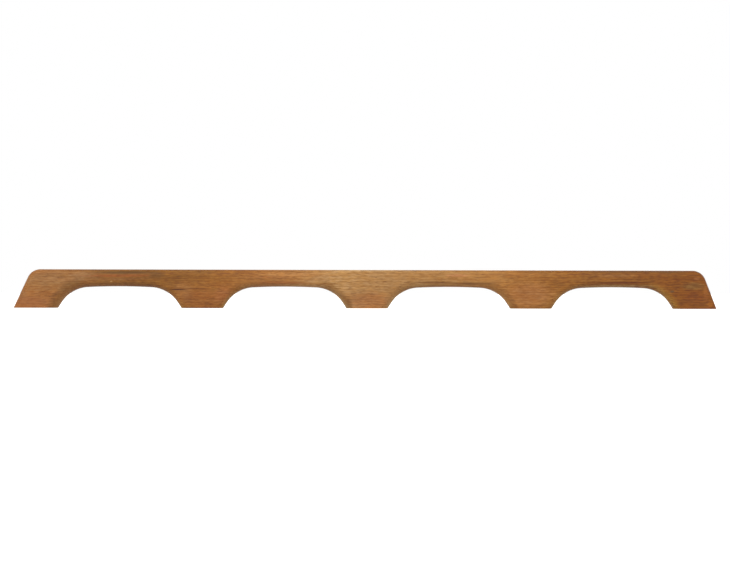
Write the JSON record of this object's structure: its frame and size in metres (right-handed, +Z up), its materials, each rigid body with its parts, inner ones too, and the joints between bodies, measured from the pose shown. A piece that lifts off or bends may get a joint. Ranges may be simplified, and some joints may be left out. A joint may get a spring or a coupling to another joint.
{
  "type": "grab rail",
  "caption": "Long wooden boat grab rail: one board with a row of low arched hand loops between flat feet, rounded edges and slanted ends.",
  "frame": {"origin": "middle of the rail's length and thickness, in the plane of the feet's bases", "axes": "+X along the rail, +Y through the board's thickness, +Z up from the feet to the grip"},
  "size_m": [1.09, 0.025, 0.0595],
  "materials": {
    "teak_board": "bare sanded teak, straight grain, golden brown, matt",
    "teak_bung": "bare sanded teak plug, grain along the rail",
    "stainless_steel": "turned A4 stainless steel"
  },
  "bodies": {
    "root": {"rail": "teak_board", "bung_1": "teak_bung", "bung_2": "teak_bung", "bung_3": "teak_bung", "bung_4": "teak_bung", "bung_5": "teak_bung", "sleeve_nut_1": "stainless_steel", "sleeve_nut_2": "stainless_steel", "sleeve_nut_3": "stainless_steel", "sleeve_nut_4": "stainless_steel", "sleeve_nut_5": "stainless_steel"}
  },
  "joints": []
}
